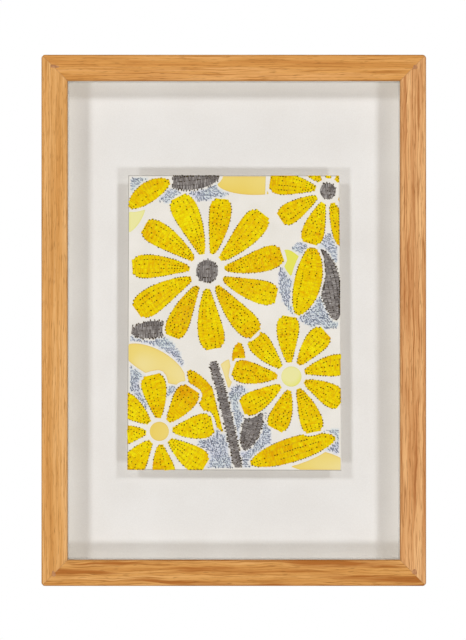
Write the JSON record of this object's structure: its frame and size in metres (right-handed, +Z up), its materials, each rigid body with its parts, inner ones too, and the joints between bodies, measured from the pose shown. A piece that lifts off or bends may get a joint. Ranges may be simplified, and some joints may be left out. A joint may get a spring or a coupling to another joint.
{
  "type": "embroidered paper artwork in oak box frame",
  "caption": "Sheet of white paper embroidered with flowers and leaves, floated on a white board in an open oak box frame that hangs on a wall.",
  "frame": {"origin": "centre of the flat back face, which lies against the wall", "axes": "+Z up as it hangs, +X to the right seen from the front, and the front faces -Y"},
  "size_m": [0.273, 0.026, 0.377],
  "materials": {
    "oak": "oiled, open grain",
    "white_spacer": "matt white paint on wood",
    "mount_board": "matt, off-white",
    "foam_board": "matt white, foam core",
    "fibreboard": "plain, unfinished",
    "stitched_paper": "heavy cotton paper with thread worked through it",
    "yellow_thread": "stranded cotton, soft sheen",
    "grey_thread": "stranded cotton, soft sheen",
    "blue_thread": "fine sewing cotton"
  },
  "bodies": {
    "root": {"rail_top": "oak", "rail_bottom": "oak", "rail_left": "oak", "rail_right": "oak", "spacer_top": "white_spacer", "spacer_bottom": "white_spacer", "spacer_left": "white_spacer", "spacer_right": "white_spacer", "mount_board": "mount_board", "riser_block": "foam_board", "back_board": "fibreboard", "embroidered_sheet": "stitched_paper"}
  },
  "joints": []
}
